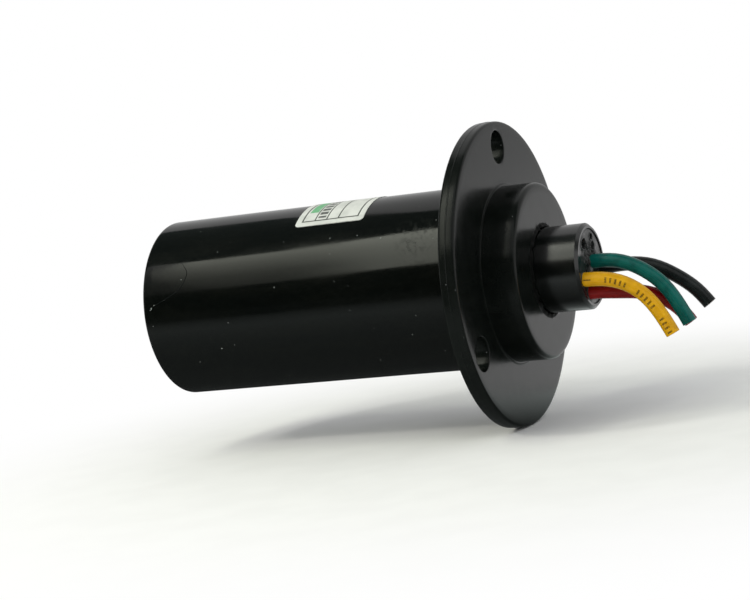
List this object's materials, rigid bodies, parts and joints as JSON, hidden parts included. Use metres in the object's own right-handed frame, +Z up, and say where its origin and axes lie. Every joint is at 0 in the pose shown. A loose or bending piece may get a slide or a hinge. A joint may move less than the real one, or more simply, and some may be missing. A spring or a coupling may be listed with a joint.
{
  "type": "slip ring",
  "caption": "Capsule slip ring: black barrel, round mounting flange with boss, and a turning hub with cut leads; ring stack, wire brushes and ball bearings inside.",
  "frame": {"origin": "on the axis of rotation, in the rear face of the mounting flange", "axes": "+X along the axis of rotation from the barrel to the hub and leads, +Z straight up through the top bolt hole, +Y to the left of someone who looks from the hub along -X"},
  "size_m": [0.0929, 0.05, 0.05],
  "materials": {
    "barrel_gloss_plastic": "glossy black moulded tube",
    "housing_plastic": "satin black moulded plastic",
    "hub_plastic": "semi-gloss black moulded plastic",
    "plug_plastic": "satin dark grey plastic",
    "seal_rubber": "soft black rubber",
    "label_film": "white printed film",
    "bearing_steel": "ground bearing steel",
    "ball_steel": "polished chrome steel",
    "cage_brass": "pressed brass",
    "spring_steel": "oiled spring steel",
    "fixing_steel": "zinc plated steel",
    "frame_plastic": "glass filled dark plastic",
    "board_laminate": "green glass epoxy board",
    "terminal_tin": "tinned brass pins",
    "brush_gold": "gold alloy wire",
    "ring_gold": "gold plated brass",
    "barrier_plastic": "natural moulded plastic",
    "rod_copper": "tinned copper alloy rod",
    "insulation_green": "green lead insulation",
    "insulation_yellow": "yellow lead insulation",
    "insulation_red": "red lead insulation",
    "insulation_black": "black lead insulation"
  },
  "bodies": {
    "stator": {"barrel_tube": "barrel_gloss_plastic", "rear_cap": "housing_plastic", "flange_housing": "housing_plastic", "dust_seal": "seal_rubber", "id_label": "label_film", "front_outer_race": "bearing_steel", "front_circlip": "spring_steel", "rear_outer_race": "bearing_steel", "wave_washer": "spring_steel", "brush_frame": "frame_plastic", "frame_screws": "fixing_steel", "brush_board": "board_laminate", "board_terminals": "terminal_tin", "brush_1": "brush_gold", "brush_2": "brush_gold", "brush_3": "brush_gold", "brush_4": "brush_gold"},
    "rotor": {"rotor_shaft": "hub_plastic", "front_spacer": "frame_plastic", "clamp_washer": "fixing_steel", "clamp_nut": "fixing_steel", "lead_plug": "plug_plastic", "front_inner_race": "bearing_steel", "rear_inner_race": "bearing_steel", "rear_clip": "spring_steel", "contact_ring_1": "ring_gold", "contact_ring_2": "ring_gold", "contact_ring_3": "ring_gold", "contact_ring_4": "ring_gold", "ring_barrier_1": "barrier_plastic", "ring_barrier_2": "barrier_plastic", "ring_barrier_3": "barrier_plastic", "ring_barrier_4": "barrier_plastic", "ring_barrier_5": "barrier_plastic", "terminal_rod_1": "rod_copper", "terminal_rod_2": "rod_copper", "terminal_rod_3": "rod_copper", "terminal_rod_4": "rod_copper", "lead_green": "insulation_green", "lead_yellow": "insulation_yellow", "lead_red": "insulation_red", "lead_black": "insulation_black"},
    "front_ball_cage": {"front_cage": "cage_brass", "front_balls": "ball_steel"},
    "rear_ball_cage": {"rear_cage": "cage_brass", "rear_balls": "ball_steel"}
  },
  "joints": [
    {"name": "rotor_spin", "type": "hinge", "parent": "stator", "child": "rotor", "pos_m": [0, 0, 0], "axis": [1, 0, 0], "continuous": true},
    {"name": "front_cage_spin", "type": "hinge", "parent": "stator", "child": "front_ball_cage", "pos_m": [0, 0, 0], "axis": [1, 0, 0], "continuous": true},
    {"name": "rear_cage_spin", "type": "hinge", "parent": "stator", "child": "rear_ball_cage", "pos_m": [0, 0, 0], "axis": [1, 0, 0], "continuous": true}
  ],
  "couplings": [
    {"joint": "front_cage_spin", "follows": "rotor_spin", "ratio": 0.4279},
    {"joint": "rear_cage_spin", "follows": "rotor_spin", "ratio": 0.4167}
  ]
}
